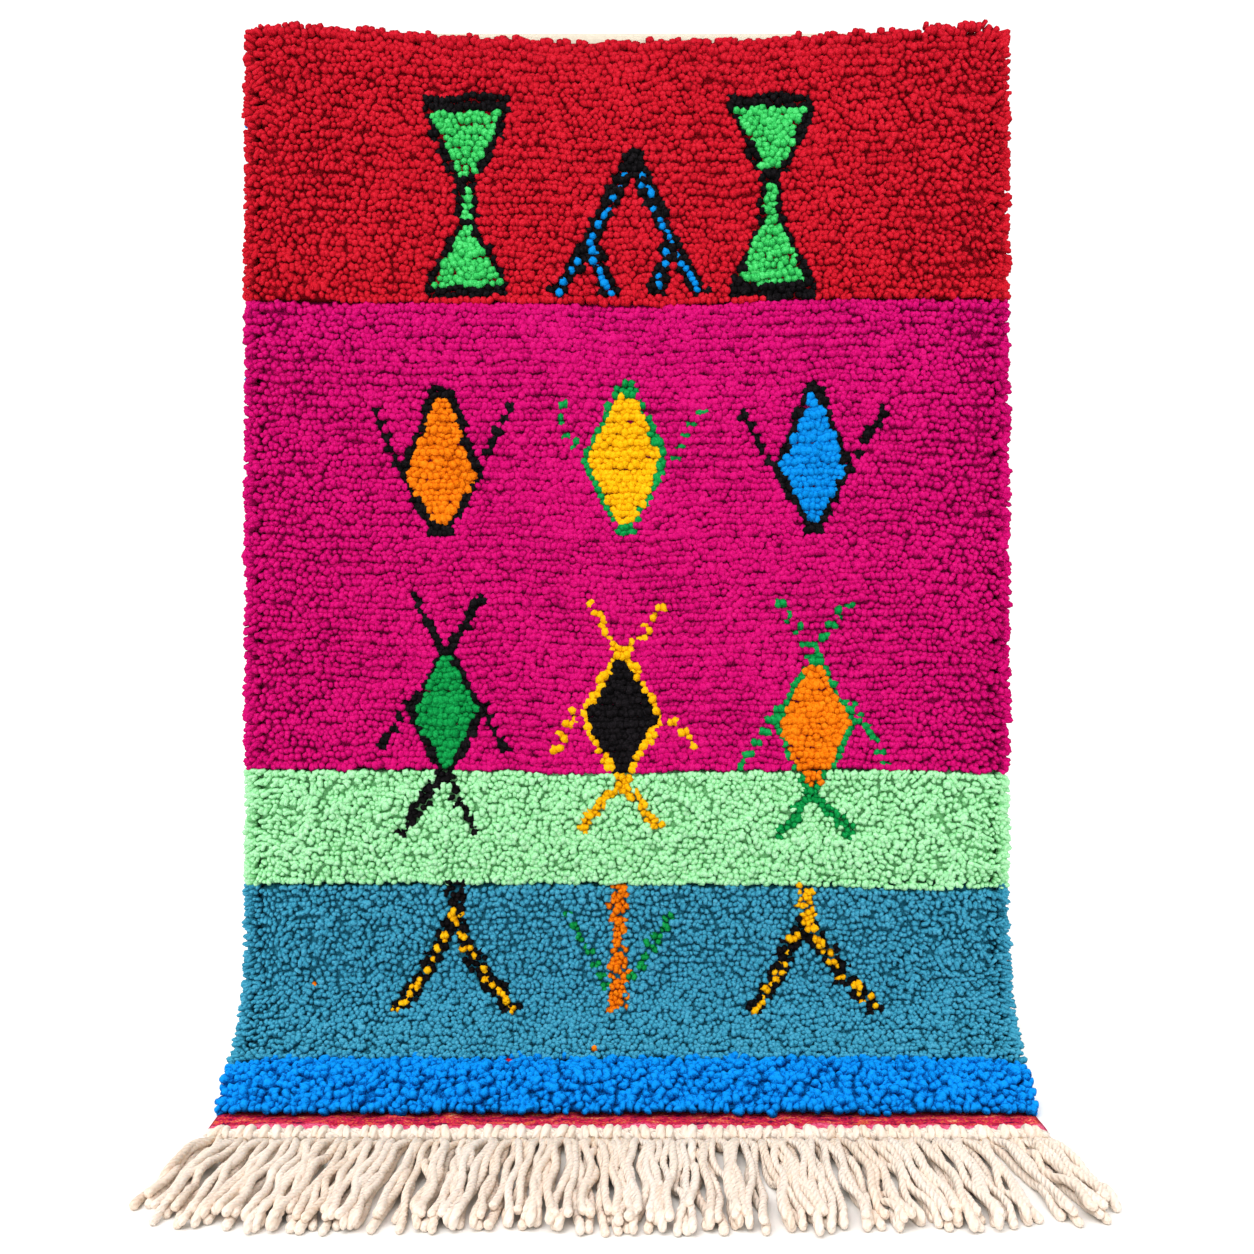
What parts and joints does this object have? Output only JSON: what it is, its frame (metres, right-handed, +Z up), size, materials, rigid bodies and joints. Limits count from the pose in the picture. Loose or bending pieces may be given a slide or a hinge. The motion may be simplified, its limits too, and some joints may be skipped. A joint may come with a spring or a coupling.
{
  "type": "berber pile rug hanging",
  "caption": "Hand-knotted wool pile rug hung by its top edge, its foot curving on to the floor, with colour bands, symbols and a knotted fringe.",
  "frame": {"origin": "on the floor, under the middle of the box round the rug with its fringe", "axes": "+Z up along the hanging rug, -Y out from the pile's face towards the fringe tips, +X to the right of someone who faces the pile"},
  "size_m": [1.0156, 0.4796, 1.3914],
  "materials": {
    "ground_weave": "matte plain weave of undyed wool",
    "pile_red": "matte cut wool pile",
    "pile_magenta": "matte cut wool pile",
    "pile_mint": "matte cut wool pile",
    "pile_teal": "matte cut wool pile",
    "pile_blue": "soft thick wool pile",
    "fringe": "matte plied undyed wool",
    "yarn_black": "matte cut wool pile",
    "yarn_light_green": "matte cut wool pile",
    "yarn_emerald": "matte cut wool pile",
    "yarn_orange": "matte cut wool pile",
    "yarn_gold": "matte cut wool pile",
    "yarn_azure": "matte cut wool pile",
    "flat_weave_end": "ribbed flat weave of mixed wools"
  },
  "bodies": {
    "root": {"ground_weave": "ground_weave", "pile_red": "pile_red", "pile_magenta": "pile_magenta", "pile_mint": "pile_mint", "pile_teal": "pile_teal", "pile_blue": "pile_blue", "fringe": "fringe"}
  },
  "joints": []
}
